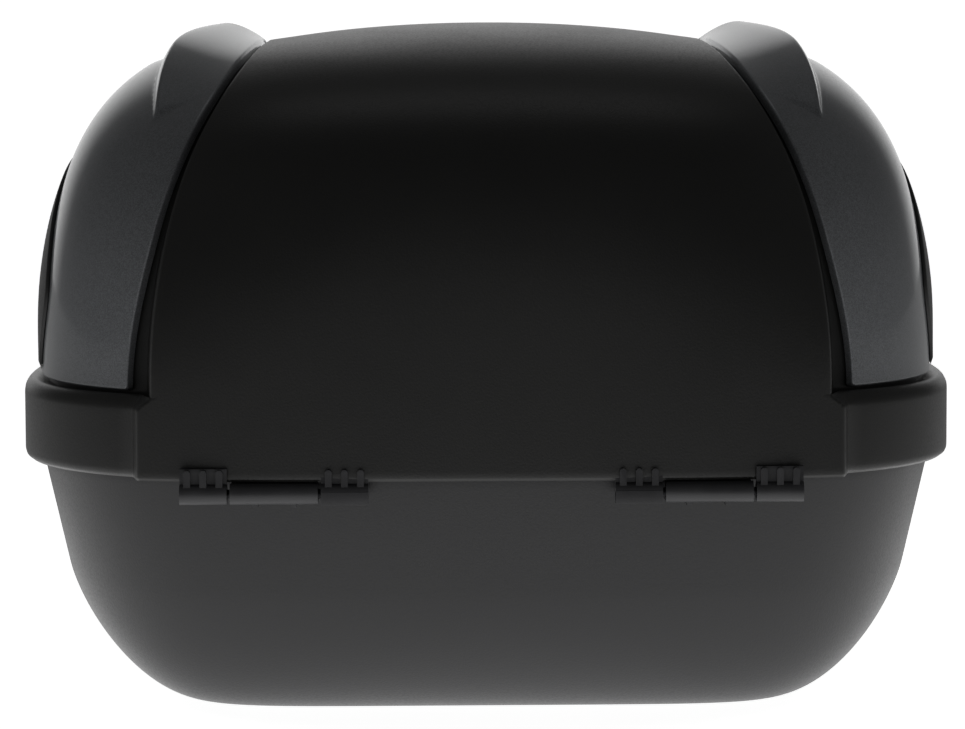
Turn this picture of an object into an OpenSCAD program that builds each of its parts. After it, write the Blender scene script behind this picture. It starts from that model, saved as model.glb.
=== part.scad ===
// Motorcycle top case: a lower shell with a hinged lid, two painted side wings with raised fins,
// dark side pads, a cam lock at the rear and a carrier release under it.
// Millimetres, +Z up. The hinge side faces -Y and the lock side +Y.
// The origin is the centre of the outline, on the plane the rubber feet stand on.

/* [Overall] */
// Full width across the lid skirt
case_w = 440; // [420:1:470]
// Distance from the middle to the face of the front and rear aprons
apron_y = 208; // [196:0.5:220]
// How much deeper the rounded outline of the skirt is than the aprons that cut it off
corner_out = 3.6; // [2:0.1:6]
// Full height to the top of the dome
case_h = 316; // [300:1:330]
// Height of the lid skirt's lower edge
skirt_z = 113.4; // [110:0.2:118]
// Height of the skirt band
skirt_h = 37; // [34:0.5:42]
// Squareness of the outline in plan
plan_n = 3.2; // [2.8:0.05:3.6]

/* [Lower shell] */
// Gap from the skirt's outer face in to the shell's side wall
shell_inset = 8; // [7:0.25:10]
// Gap from the aprons' face in to the shell's front and rear walls
shell_inset_y = 8; // [6.5:0.25:9.5]
// Half width of the flat underside
foot_a = 137; // [128:1:146]
// Half depth of the flat underside
foot_b = 128; // [122:1:134]
// Squareness of the flat underside
foot_n = 6.8; // [4:0.2:9]
// Height over which the underside rounds into the side
turn_h = 60; // [50:1:72]
// Fullness of that rounding
turn_p = 1.8; // [1.6:0.05:2.4]
// Draft of the shell side
draft = 0.22; // [0.15:0.01:0.26]
// Wall thickness
wall = 3.2; // [2.6:0.1:4]
// Floor thickness
floor_t = 4; // [3.5:0.1:5]
// How far the shell's rim stands up inside the lid
rim_up = 16; // [14:0.5:18]
// Height of the rubber seal on the rim
seal_t = 2.4; // [1.8:0.1:3]
// Width of the rubber seal
seal_w = 4.6; // [3.8:0.1:5.4]
// How far the rubber feet stand below the shell
foot_t = 1.2; // [0.8:0.1:2]
// Radius of a rubber foot
foot_r = 9; // [7:0.5:12]

/* [Dome and wings] */
// Gap from the skirt's outer face in to the side of the dome
dome_inset = 5.8; // [4:0.2:10]
// Thickness of the lid
lid_wall = 3.5; // [2.8:0.1:4.2]
// Fullness of the wings' shoulder
wing_p = 4.37; // [3.8:0.05:5]
// Lean of the wings towards the top
wing_lean = 0.0425; // [0.02:0.0025:0.06]
// Fullness of the dome's edge along the crest
crown_q = 6.5; // [5.5:0.1:7.5]
// Half width between the wings at their lower edge
saddle_low = 155; // [148:0.5:158]
// How much narrower the saddle is at the crest
saddle_narrow = 49; // [40:1:56]
// Width of the sloped flank beside the saddle
flank = 7; // [5:0.5:9]
// Squareness of the saddle's front near the skirt
saddle_n = 5; // [4.5:0.25:8]
// Thickness of a wing panel
wing_t = 3.3; // [2.5:0.1:4]
// Gap left under a wing panel
wing_gap = 0.7; // [0.5:0.1:0.9]
// Shadow gap between a wing's edge and the saddle
wing_edge = 1.5; // [1:0.1:2.5]
// Height of the fin above the wing
fin_h = 12; // [8:0.5:14]
// Distance from the saddle's edge out to the fin's crease at its highest point
fin_in = 21; // [17:0.2:26]
// How much further out the crease runs at the fin's ends
fin_flare = 22; // [16:0.5:26]
// Half length of the fin, front to back
fin_len = 156; // [140:2:166]
// Half length of a side pad
pad_len = 105; // [90:1:115]
// Height of a side pad
pad_h = 100; // [85:1:110]
// Crown of a side pad
pad_crown = 2.8; // [2:0.1:4]

/* [Hinges] */
// Distance of each hinge from the middle
hinge_x = 94.9; // [88:0.1:100]
// Radius of the knuckles
knuckle_r = 4.65; // [4.3:0.05:4.9]
// Length of the middle knuckle
knuckle_mid = 38.3; // [34:0.1:42]
// Length of an end knuckle
knuckle_end = 20.6; // [18:0.1:23]
// Gap between knuckles
knuckle_gap = 1.3; // [1:0.1:1.8]
// Radius of the hinge pin
pin_r = 2; // [1.6:0.1:2.4]
// Radial running clearance on pins and on the key barrel
run_fit = 0.05; // [0.02:0.01:0.1]
// Spacing of the ribs
rib_pitch = 7; // [6:0.1:7.4]
// Width of a rib
rib_w = 3; // [2.4:0.1:3.4]
// Height of the ribs above the skirt's lower edge
rib_h = 5.6; // [4:0.1:7]

/* [Lock] */
// Half width of the lock housing
lock_w = 56; // [50:1:60]
// Depth of the key barrel's axis below the skirt's edge
key_drop = 20.4; // [18.5:0.1:23]
// Radius of the key barrel
key_r = 8; // [7:0.25:9]
// Width of the collar round the key barrel
collar_w = 4; // [3:0.1:4.4]
// Reach of the cam from the barrel's axis
cam_reach = 24; // [21:0.5:26]
// Thickness of the cam
cam_t = 2.5; // [2:0.1:3]
// Half width of the release button
button_w = 30; // [24:0.5:33]
// Height of the release button
button_h = 10; // [8:0.25:10.5]
// Travel of the release button
button_travel = 6; // [4:0.5:7]
// Width of the slider behind the button
slider_w = 15; // [12:0.5:17]

/* [Hidden] */
$fn = 48;
// Shared heights, and where the dome leaves the skirt as a share of the dome's height
dome_z0 = 100;
dome_c = case_h - dome_z0;
skirt_top = skirt_z + skirt_h;
dome_r0 = (skirt_top - dome_z0) / dome_c;
saddle_r = dome_r0 + 0.0067;
skirt_a = case_w / 2;
skirt_b = apron_y + corner_out;
shell_a = skirt_a - shell_inset;
shell_b = apron_y - shell_inset_y;
dome_a = skirt_a - dome_inset;
fin_x = saddle_low - saddle_narrow + fin_in;
rim_z = skirt_z + rim_up;
ledge_z = rim_z + seal_t + 0.35;
step_r = (wing_t + wing_gap) / dome_c;
k_base = 1 - step_r;
k_in = k_base - lid_wall / dome_c;
k_wing_in = 1 - wing_t / dome_c;
// The hinge axis hangs just under the front apron
hinge_y = apron_y - 1.7;
hinge_z = skirt_z - knuckle_r - 0.5;
out_y = hinge_y + knuckle_r;
hinge_len = knuckle_mid + 2 * knuckle_end + 2 * knuckle_gap;
// Lock, release and striker hang from the skirt's edge and stand in from the shell's rear wall
key_z = skirt_z - key_drop;
collar_r = key_r + collar_w;
button_z0 = key_z - collar_r - 3.4 - button_h;
lock_z0 = button_z0 - 6.6;
lock_back = shell_b - 19;
lock_face = out_y - 1.4;
button_back = shell_b - 8;
spring_x = button_w - 12;
cam_y = shell_b - 24.4;
striker_y = shell_b - 25.2;
post_x = cam_reach + 6;
plate_y = apron_y - lid_wall - 7.9;
// Openings and fixings in the floor
leg_y = foot_b - 1.4;
slot_w = slider_w / 2 + 1.5;
slot_y = leg_y - button_travel - 1.6;
slot_l = leg_y + 17.4 - slot_y;
hook_x = 45;
hook_y = foot_b - 45;
foot_x = foot_a - 49;
foot_y = foot_b - 48;
window_z0 = lock_z0 + 5;
window_z1 = key_z + key_r + 5;
cover_w = slider_w / 2 + 12.5;
cover_y = slot_y - 4;
// Mesh density of the moulded skins
side_steps = 8;
front_steps = 8;

function clamp(v) = max(0, min(1, v));
function smooth(v) = clamp(v) * clamp(v) * (3 - 2 * clamp(v));
function mix(a, b, w) = a + (b - a) * w;
function side_of(v) = v < 0 ? -1 : 1;
function oval(a, b, n, t) = [
  a * side_of(cos(t)) * pow(abs(cos(t)), 2 / n),
  b * side_of(sin(t)) * pow(abs(sin(t)), 2 / n)
];
function arc_of(x, a, n) = acos(pow(clamp(x / a), n / 2));

// Full ring of angles that puts vertices on the two edges of the saddle's flank
function quarter(t1, t2) = concat(
  [for (i = [0:side_steps - 1]) t1 * i / side_steps],
  [t1],
  [for (i = [0:front_steps]) t2 + (90 - t2) * i / front_steps]
);
function full_ring(q) = let (m = len(q) - 1) concat(
  [for (i = [0:m - 1]) q[i]],
  [for (i = [0:m - 1]) 180 - q[m - i]],
  [for (i = [0:m - 1]) 180 + q[i]],
  [for (i = [0:m - 1]) 360 - q[m - i]]
);

// Dome: half width, half depth and squareness at a height given as a share of the dome
function crown(r) = pow(max(0, 1 - pow(r, crown_q)), 0.5);
function shoulder(r) = (1 - wing_lean * r) * pow(max(0, 1 - pow(r, wing_p)), 1 / wing_p);
function dome_w(r) = mix(dome_a * shoulder(r), skirt_a * 0.982 * crown(r), smooth((r - 0.907) / 0.065));
function dome_d(r) = apron_y * crown(r);
function dome_n(r) = plan_n - 0.9 * pow(clamp((r - 0.65) / 0.32), 2);
function saddle_x(r) = saddle_low - saddle_narrow * pow(clamp((r - saddle_r) / (0.958 - saddle_r)), 2.2);
function front_n(r) = mix(saddle_n, dome_n(r), smooth((r - saddle_r) / 0.45));
function dome_ring(r) = let (a = dome_w(r), n = dome_n(r), x = saddle_x(r),
                             t1 = max(5, arc_of(x, a, n)),
                             t2 = max(t1 + 3, arc_of(x - flank, a, n)))
  full_ring(quarter(t1, t2));
function lifted(p, k) = [p[0] * k, p[1] * k, dome_z0 + (p[2] - dome_z0) * k];
function dome_point(r, t) = let (p = oval(dome_w(r), dome_d(r), dome_n(r), t))
  [p[0], p[1], dome_z0 + dome_c * r];

// Outer face of the lid: the base surface, raised to full size on the saddle
function lid_point(r, t) = let (a = dome_w(r), b = dome_d(r), p = dome_point(r, t),
                                w = clamp((saddle_x(r) - abs(p[0])) / flank),
                                n = front_n(r),
                                y = b * pow(max(0, 1 - pow(min(1, abs(p[0]) / a), n)), 1 / n))
  lifted([p[0], side_of(p[1]) * mix(abs(p[1]), y, w), p[2]], mix(k_base, 1, w));

// Outer face of the skirt, with the flat aprons between the flank lines
apron_x = saddle_low + 3.5;
apron_flank = 3.5;
function skirt_ring() = let (t1 = arc_of(apron_x, skirt_a, plan_n),
                             t2 = arc_of(apron_x - apron_flank, skirt_a, plan_n))
  full_ring(quarter(t1, t2));
function skirt_point(z, in, t) = let (p = oval(skirt_a - in, skirt_b - in, plan_n, t),
                                      w = clamp((apron_x - abs(p[0])) / apron_flank + 0.001),
                                      y = (apron_y - in * 0.4)
                                          * pow(1 - pow(abs(p[0]) / skirt_a, saddle_n), 1 / saddle_n))
  [p[0], side_of(p[1]) * mix(abs(p[1]), y, w), z];

function dome_steps() = concat([for (s = [0, 0.18, 0.36, 0.55, 0.77]) mix(dome_r0 - 0.0053, 0.565, s)],
                               [for (i = [1:20]) pow(sin(5 + 4 * i), 2 / crown_q)]);
function inner_steps() = [for (i = [0:12]) pow(sin(84 - 6.7 * i), 2 / crown_q)];

// Lower shell: half width and depth at an angle of its turned edge
function turn_z(f) = turn_h * (1 - pow(cos(f), 2 / turn_p));
function turn_k(f) = pow(sin(f), 2 / turn_p);
function shell_w(z, k) = mix(foot_a, shell_a - draft * max(0, skirt_z - z), k);
function shell_d(z, k) = mix(foot_b, shell_b - draft * max(0, skirt_z - z), k);
function shell_n(k) = mix(foot_n, plan_n, k);
function shell_rows() = concat([for (f = [0, 5, 10, 16, 23, 31, 40, 49, 58, 67, 76, 84]) [turn_z(f), turn_k(f)]],
                               [[turn_h, 1], [(turn_h + skirt_z) / 2, 1], [skirt_z, 1], [rim_z - foot_t, 1]]);
function even_ring(n) = [for (i = [0:n - 1]) 360 * i / n];
function shell_outer() = [for (s = shell_rows()) [for (t = even_ring(72))
  concat(oval(shell_w(s[0], s[1]), shell_d(s[0], s[1]), shell_n(s[1]), t), [foot_t + s[0]])]];
function shell_inner() = let (h = rim_z - foot_t) [for (i = [15:-1:0]) let (s = shell_rows()[i]) [for (t = even_ring(72))
  concat(oval(shell_w(s[0], s[1]) - wall, shell_d(s[0], s[1]) - wall, shell_n(s[1]), t),
         [foot_t + floor_t + s[0] * (h - floor_t) / h])]];
// Depth of the shell's outer face at a height, in the middle of a wall and at a distance along it
function wall_k(h) = h >= turn_h ? 1 : turn_k(acos(pow(clamp(1 - h / turn_h), turn_p / 2)));
function rear_y(z) = shell_d(z - foot_t, wall_k(z - foot_t));
function wall_y(x, z) = rear_y(z) * pow(1 - pow(abs(x) / shell_w(z - foot_t, wall_k(z - foot_t)), plan_n), 1 / plan_n);

// Point on the rear wall's inner face, a gap away from it
function inner_wall(h, gap) = let (k = rim_z - foot_t)
  [rear_y(foot_t + h) - wall - gap, foot_t + floor_t + h * (k - floor_t) / k + gap];

// Closed skins made from rows of points
function strip(a, b, c, d) = [[a, d, c], [a, c, b]];
module loft(rows, closed = false) {
  n = len(rows[0]);
  m = len(rows);
  low = [for (i = [0:2]) [for (p = rows[0]) p[i]] * [for (j = [1:n]) 1 / n]];
  high = [for (i = [0:2]) [for (p = rows[m - 1]) p[i]] * [for (j = [1:n]) 1 / n]];
  points = concat([for (row = rows) for (p = row) p], [low, high]);
  last = closed ? m - 1 : m - 2;
  walls = [for (i = [0:last]) for (j = [0:n - 1]) let (u = (i + 1) % m, v = (j + 1) % n)
    each strip(i * n + j, i * n + v, u * n + v, u * n + j)];
  caps = [for (j = [0:n - 1]) let (v = (j + 1) % n)
    each [[m * n, j, v], [m * n + 1, (m - 1) * n + v, (m - 1) * n + j]]];
  polyhedron(points = closed ? [for (row = rows) for (p = row) p] : points,
             faces = closed ? walls : concat(walls, caps), convexity = 6);
}
module panel(outer, inner) {
  m = len(outer);
  n = len(outer[0]);
  k = m * n;
  points = concat([for (row = outer) for (p = row) p], [for (row = inner) for (p = row) p]);
  skin = [for (j = [0:m - 2]) for (i = [0:n - 2]) let (a = j * n + i, b = a + 1, c = b + n, d = a + n)
    each concat(strip(a, b, c, d), [[k + a, k + c, k + d], [k + a, k + b, k + c]])];
  ends = [for (i = [0:n - 2]) let (a = i, b = i + 1, c = (m - 1) * n + i + 1, d = (m - 1) * n + i)
    each [[a, b, k + b], [a, k + b, k + a], [c, d, k + d], [c, k + d, k + c]]];
  sides = [for (j = [0:m - 2]) let (a = j * n, d = a + n, b = a + n - 1, c = b + n)
    each [[d, a, k + a], [d, k + a, k + d], [b, c, k + c], [b, k + c, k + b]]];
  polyhedron(points = points, faces = concat(skin, ends, sides), convexity = 6);
}
module both_sides() {
  children();
  mirror([1, 0, 0]) children();
}
// Rounded bar along Y, centred in X, from one Y to the other
module bar(x, y0, y1, z0, z1, r) {
  translate([0, y1, 0])
    rotate([90, 0, 0])
      linear_extrude(y1 - y0)
        rounded(-x, x, z0, z1, r);
}
module rounded(x0, x1, z0, z1, r) {
  translate([x0 + r, z0])
    square([x1 - x0 - 2 * r, z1 - z0]);
  translate([x0, z0 + r])
    square([x1 - x0, z1 - z0 - 2 * r]);
  for (x = [x0 + r, x1 - r])
    for (z = [z0 + r, z1 - r])
      translate([x, z])
        circle(r);
}
// Pan-head screw along +Z, with the head's seat at the origin
module screw(head_r, head_t, shank_r, shank_l) {
  translate([0, 0, -shank_l])
    cylinder(r = shank_r, h = shank_l + head_t / 2);
  difference() {
    cylinder(r = head_r, h = head_t);
    translate([-head_r * 0.55, -head_r * 0.11, head_t * 0.45])
      cube([head_r * 1.1, head_r * 0.22, head_t]);
    translate([-head_r * 0.11, -head_r * 0.55, head_t * 0.45])
      cube([head_r * 0.22, head_r * 1.1, head_t]);
  }
}

/* Lower shell and what it carries */
module lower_shell() {
  color("#26272a")
    difference() {
      loft(concat(shell_outer(), shell_inner()));
      // Window for the lock housing
      bar(lock_w - 9.6, shell_b - 32, shell_b + 13, window_z0 - 0.4, window_z1 + 0.4, 4);
      // Slot for the carrier's rear catch, and two for its front hooks
      translate([-slot_w, slot_y, -1])
        cube([2 * slot_w, slot_l, 14]);
      for (x = [-hook_x, hook_x])
        translate([x - 17, -hook_y - 5, -1])
          cube([34, 10, 8]);
      // Pockets for the rubber feet
      for (x = [-foot_x, foot_x])
        for (y = [-foot_y, foot_y])
          translate([x, y, 0])
            cylinder(r = foot_r, h = foot_t + 2);
    }
}

module base_feet() {
  color("#17181a")
    for (x = [-foot_x, foot_x])
      for (y = [-foot_y, foot_y])
        translate([x, y, 0])
          cylinder(r = foot_r - 0.15, h = foot_t + 1.9);
}

module rim_seal() {
  color("#121314")
    loft([for (s = [[0, 0], [0.4, seal_t * 0.8], [1.2, seal_t], [seal_w - 1.2, seal_t],
                    [seal_w - 0.4, seal_t * 0.8], [seal_w, 0]])
      [for (t = even_ring(72)) concat(oval(shell_a + 0.4 - s[0], shell_b + 0.4 - s[0], plan_n, t), [rim_z + s[1]])]],
      closed = true);
}

module floor_mat() {
  color("#202124")
    translate([0, 0, foot_t + floor_t + 0.2])
      linear_extrude(2.5)
        difference() {
          polygon([for (t = even_ring(72)) oval(foot_a - 8, foot_b - 8, foot_n, t)]);
          translate([-cover_w - 13, cover_y - 3])
            square([2 * cover_w + 26, 60]);
        }
}

module hinge_base(side) {
  color("#2b2c2f")
    translate([side * hinge_x, -hinge_y, hinge_z])
      difference() {
        union() {
          rotate([0, 90, 0])
            cylinder(r = knuckle_r, h = knuckle_mid, center = true);
          // Web back to the shell's curved wall
          translate([0, 0, -knuckle_r + 0.6])
            linear_extrude(2 * knuckle_r - 1.4)
              polygon(concat([[-knuckle_mid / 2, 0]],
                             [for (i = [0:4]) let (x = knuckle_mid * (i / 4 - 0.5)) [x, reach(side, x)]],
                             [[knuckle_mid / 2, 0]]));
          for (x = [-knuckle_mid * 0.22, knuckle_mid * 0.22])
            translate([x - 1.2, 1.5, -knuckle_r - 1.6])
              cube([2.4, reach(side, x) - 1.5, 3]);
        }
        rotate([0, 90, 0])
          cylinder(r = pin_r + 0.01, h = knuckle_mid + 2, center = true);
      }
}
function reach(side, x) = hinge_y - wall_y(side * hinge_x + x, hinge_z) + 1;

module hinge_pin(side) {
  color("#b9bcc0")
    translate([side * hinge_x, -hinge_y, hinge_z])
      rotate([0, 90, 0])
        cylinder(r = pin_r, h = hinge_len - 1, center = true);
}

/* Lock at the rear */
module lock_housing() {
  lock_mid = mix(lock_z0, skirt_z, 0.44);
  color("#1d1e20")
    difference() {
      union() {
        // Outer body: its back leans with the shell's wall
        intersection() {
          bar(lock_w, shell_b - 22, out_y + 4, lock_z0, skirt_z - 1.4, 7);
          translate([-lock_w, 0, 0])
            rotate([90, 0, 90])
              linear_extrude(2 * lock_w)
                polygon([[rear_y(lock_z0) + 0.3, lock_z0], [rear_y(lock_mid) + 0.4, lock_mid],
                         [rear_y(skirt_z) + 0.3, skirt_z], [lock_face - 3, skirt_z], [lock_face, skirt_z - 6],
                         [lock_face, lock_z0 + 7], [lock_face - 8, lock_z0]]);
        }
        bar(lock_w - 10, lock_back, shell_b - 2, window_z0, window_z1, 3.6);
      }
      // Bore of the key barrel and the seat of its collar
      translate([0, out_y + 9, key_z])
        rotate([90, 0, 0])
          cylinder(r = key_r + run_fit, h = out_y + 9 - lock_back + 5);
      translate([0, out_y + 9, key_z])
        rotate([90, 0, 0])
          cylinder(r = collar_r + 0.02, h = out_y + 9 - lock_face + 1.2);
      // Pocket of the release button and the way for its slider
      translate([-button_w - 0.3, button_back - button_travel - 0.5, button_z0 - 0.3])
        cube([2 * button_w + 0.6, 40, button_h + 0.6]);
      translate([-slider_w / 2 - 0.9, lock_back - 13, button_z0 + 1.6])
        cube([slider_w + 1.8, 30, button_h - 3.2]);
    }
}

module key_collar() {
  color("#c7cacd")
    translate([0, out_y, key_z])
      rotate([90, 0, 0])
        difference() {
          cylinder(r = collar_r, h = out_y - lock_face + 1.18);
          translate([0, 0, -1])
            cylinder(r = key_r + run_fit, h = 8);
        }
}

module key_barrel() {
  color("#a9acb0")
    difference() {
      union() {
        translate([0, out_y - 0.5, key_z])
          rotate([90, 0, 0])
            cylinder(r = key_r, h = out_y - 0.5 - cam_y - cam_t - 0.1);
        translate([0, cam_y + cam_t + 1, key_z])
          rotate([90, 0, 0])
            cylinder(r = 4, h = cam_t + 6);
      }
      translate([-0.8, out_y - 4.5, key_z - 4])
        cube([1.6, 8, 8]);
    }
}

module lock_cam() {
  color("#8f9296")
    translate([0, cam_y + cam_t, key_z])
      rotate([90, 0, 0])
        linear_extrude(cam_t)
          difference() {
            union() {
              circle(7.6);
              translate([-4.4, 0])
                square([8.8, cam_reach - 4.4]);
              translate([0, cam_reach - 4.4])
                circle(4.4);
            }
            circle(4.02);
          }
}

module cam_nut() {
  color("#9a9da1")
    translate([0, cam_y - 0.05, key_z])
      rotate([90, 0, 0])
        difference() {
          cylinder(r = 6.6, h = 3.4, $fn = 6);
          translate([0, 0, -1])
            cylinder(r = 4.02, h = 6);
        }
}

module release_button() {
  color("#a3161a")
    difference() {
      bar(button_w, button_back, out_y - 0.9, button_z0, button_z0 + button_h, 2);
      for (x = [-spring_x, spring_x])
        translate([x, button_back + 9, button_z0 + button_h / 2])
          rotate([90, 0, 0])
            cylinder(r = 3.4, h = 12);
    }
}

module release_slider() {
  mid = button_z0 + button_h / 2;
  low = foot_t + 1.2;
  color("#8d9094")
    translate([-slider_w / 2, 0, 0])
      rotate([90, 0, 90])
        linear_extrude(slider_w)
          polygon([[button_back, mid - 2.2], [button_back, mid + 2.2], [leg_y + 2.4, mid + 2.2], [leg_y, mid - 0.6],
                   [leg_y, low], [leg_y + 11.4, low], [leg_y + 13.4, low + 2], [leg_y + 13.4, low + 5.2],
                   [leg_y + 4.4, low + 5.2], [leg_y + 4.4, mid - 2.2]]);
}

module release_springs() {
  turns = 6;
  steps = 10;
  length = button_back + 9 - (button_back - button_travel - 0.5) - 1.4;
  color("#b4b7bb")
    for (x = [-spring_x, spring_x])
      translate([x, button_back - button_travel - 0.5 + 0.7, button_z0 + button_h / 2])
        loft([for (i = [0:turns * steps]) let (a = 360 * i / steps)
          [for (j = [0:5]) let (q = 60 * j)
            [cos(a) * (2.6 + 0.45 * cos(q)), length * i / turns / steps + 0.45 * sin(q), sin(a) * (2.6 + 0.45 * cos(q))]]]);
}

module latch_cover() {
  top = button_z0 + button_h / 2 + 6.9;
  low = foot_t + floor_t + 0.2;
  color("#222326")
    difference() {
      union() {
        translate([-cover_w, 0, 0])
          rotate([90, 0, 90])
            linear_extrude(2 * cover_w)
              polygon(concat([[foot_b - wall - 2, low], [cover_y, low], [cover_y, top - 6], [cover_y + 6, top],
                              [lock_back - 1.2, top], [lock_back - 1.2, window_z0 - 2]],
                             [for (s = [1, 0.667, 0.37, 0.185, 0.074, 0.0185]) inner_wall(s * (window_z0 - 12), 0.8)]));
        for (x = [-cover_w - 5, cover_w + 5])
          translate([x - 6, cover_y, low])
            cube([12, 9.5, 2.4]);
      }
      translate([-cover_w + 2.4, 0, 0])
        rotate([90, 0, 90])
          linear_extrude(2 * cover_w - 4.8)
            polygon([[cover_y + 2.4, low - 1], [cover_y + 2.4, top - 7], [cover_y + 7, top - 2.4],
                     [shell_b + 8, top - 2.4], [shell_b + 8, low - 1]]);
      for (x = [-cover_w - 6.5, cover_w + 6.5])
        translate([x, cover_y + 5, low - 1])
          cylinder(r = 2, h = 6);
    }
}

module cover_screws() {
  color("#7e8184")
    for (x = [-cover_w - 6.5, cover_w + 6.5])
      translate([x, cover_y + 5, foot_t + floor_t + 2.65])
        screw(3.8, 2.4, 1.9, 4.6);
}

/* Lid and what it carries */
module lid_shell() {
  low = [[ledge_z, lid_wall + 4.9, lid_wall + 4.1], [ledge_z, lid_wall - 0.1, lid_wall - 0.1],
         [skirt_z + 0.6, lid_wall - 0.1, lid_wall - 0.1]];
  color("#1f2022")
    loft(concat(
      [for (r = inner_steps()) [for (t = dome_ring(r)) lifted(dome_point(r, t), k_in)]],
      [for (s = low) [for (t = skirt_ring())
        concat(oval(skirt_a - s[1] - 0.1, apron_y - s[2], plan_n, t), [s[0]])]],
      [for (s = [[0, 2.6], [0.9, 1.2], [2.2, 0.3], [3.8, 0], [skirt_h - 8.5, 0], [skirt_h - 5, 0.9], [skirt_h - 2.8, 2.6],
                 [skirt_h - 1.9, 5]])
        [for (t = skirt_ring()) skirt_point(skirt_z + s[0], s[1], t)]],
      [for (r = dome_steps()) [for (t = dome_ring(r)) lid_point(r, t)]]
    ));
}

// Fin: its crease runs in from a corner of the wing to the crest, with a scoop inside and a steep side outside
function fin_share(y) = clamp(1 - abs(y - 10) / fin_len);
function fin_lift(r, x, y) = let (s = fin_share(y), crease = fin_x + fin_flare * (1 - s * s), foot = saddle_x(r),
                                  top = fin_h * pow(s, 0.3), u = clamp((x - foot) / max(1, crease - foot)))
  s <= 0 || x <= foot ? 0
  : x < crease ? top * mix(pow(u, 1.7), 1 - pow(1 - u, 1.7), smooth(s))
  : top * (1 - pow(clamp((x - crease) / (4 + 18 * s)), 1.1 + 0.7 * s));
function wing_arc(r) = let (a = dome_w(r), n = dome_n(r)) arc_of(saddle_x(r) + wing_edge, a, n);
// Height, as a share of the dome, at which the two edges of a wing meet on the crest
function wing_top(lo = 0.9, hi = 0.99, n = 20) = let (r = (lo + hi) / 2)
  n == 0 ? lo : dome_w(r) > saddle_x(r) + wing_edge + 1 ? wing_top(r, hi, n - 1) : wing_top(lo, r, n - 1);
function wing_rows() = let (top = asin(pow(wing_top(), crown_q / 2)))
  concat([for (s = [0, 0.168, 0.356, 0.576, 0.796]) mix(dome_r0 - 0.0004, 0.565, s)],
         [for (i = [0:19]) pow(sin(9.5 + (top - 9.5) * i / 19), 2 / crown_q)]);
module wing() {
  steps = [for (i = [-16:16]) i / 16];
  panel(
    [for (r = wing_rows()) let (t = wing_arc(r)) [for (s = steps) let (p = dome_point(r, s * t))
      [p[0], p[1], p[2] + fin_lift(r, p[0], p[1])]]],
    [for (r = wing_rows()) let (t = wing_arc(r)) [for (s = steps) let (p = dome_point(r, s * t))
      lifted([p[0], p[1], p[2]], k_wing_in)]]
  );
}
module wing_right() {
  color("#4c5157")
    wing();
}
module wing_left() {
  color("#4c5157")
    mirror([1, 0, 0])
      wing();
}

function wing_side(y, z) = let (r = (z - dome_z0) / dome_c)
  dome_w(r) * pow(1 - pow(abs(y) / dome_d(r), dome_n(r)), 1 / dome_n(r));
pad_z = skirt_top + 3.4;
module pad() {
  rows = [for (v = [0, 0.1, 0.22, 0.36, 0.5, 0.64, 0.76, 0.86, 0.93, 0.975, 1]) v];
  steps = [for (i = [-9:9]) i / 9];
  function half(v) = max(4, pad_len * pow(max(0, 1 - pow(v, 2.5)), 1 / 2.2));
  function at(u, v, h) = let (z = pad_z + pad_h * v, y = u * half(v)) [wing_side(y, z) + h, y, z];
  panel(
    [for (v = rows) [for (u = steps) at(u, v, 1.7 + pad_crown * sin(180 * pow(v, 0.8)) * (1 - pow(abs(u), 3)))]],
    [for (v = rows) [for (u = steps) at(u, v, 0.4)]]
  );
}
module side_pad_right() {
  color("#151618")
    pad();
}
module side_pad_left() {
  color("#151618")
    mirror([1, 0, 0])
      pad();
}

module wing_screws() {
  color("#6f7276")
    both_sides()
      for (p = [[-82, 0.11], [82, 0.11], [-62, 0.472], [62, 0.472]])
        let (z = mix(skirt_top, case_h, p[1] * 1.186))
          translate([wing_side(p[0], z) * k_in - 1.2, p[0], z])
            rotate([0, -90, side_of(p[0]) * 8])
              screw(4.2, 2.6, 1.8, lid_wall + wing_gap + wing_t);
}

module hinge_lid(side) {
  tongue = 6;
  end_x = knuckle_mid / 2 + knuckle_gap + knuckle_end / 2;
  color("#2b2c2f")
    translate([side * hinge_x, -hinge_y, hinge_z])
      difference() {
        union() {
          for (x = [-end_x, end_x]) {
            translate([x, 0, 0])
              rotate([0, 90, 0])
                cylinder(r = knuckle_r, h = knuckle_end, center = true);
            translate([x - knuckle_end / 2, -1.4, 0])
              cube([knuckle_end, 2.8, hinge_drop + tongue]);
            for (i = [-1, 0, 1])
              translate([x + i * rib_pitch, 0, 0])
                rib(hinge_drop + rib_h);
          }
          // Square-cut underside of the inner knuckle
          translate([-side * end_x - knuckle_end / 2, -knuckle_r, -knuckle_r])
            cube([knuckle_end, knuckle_r + 0.8, knuckle_r + 1]);
        }
        rotate([0, 90, 0])
          cylinder(r = pin_r + run_fit, h = hinge_len + 4, center = true);
      }
}
hinge_drop = skirt_z - hinge_z;
module rib(top) {
  translate([-rib_w / 2, -0.75 * knuckle_r, knuckle_r / 2])
    cube([rib_w, 0.75 * knuckle_r, top - rib_w / 2 - knuckle_r / 2]);
  translate([0, 0, top - rib_w / 2])
    rotate([90, 0, 0])
      cylinder(r = rib_w / 2, h = 0.75 * knuckle_r);
}

module striker() {
  color("#9c9fa3")
    union() {
      translate([-10, plate_y, ledge_z + 2.4])
        cube([post_x + 20, 3.4, 26]);
      translate([post_x - 3, striker_y, ledge_z + 2.4])
        cube([13, plate_y + 2.4 - striker_y, 3.4]);
      translate([post_x, striker_y, key_z - 10.5])
        cube([6, 3.8, ledge_z + 5.8 - key_z + 10.5]);
      translate([10, striker_y, key_z - 10.5])
        cube([post_x - 4, 3.8, 4]);
    }
}

module striker_screws() {
  color("#7e8184")
    for (x = [0, 16])
      translate([x, plate_y - 0.05, ledge_z + 18])
        rotate([90, 0, 0])
          screw(4, 2.5, 1.9, 7);
}

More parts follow.
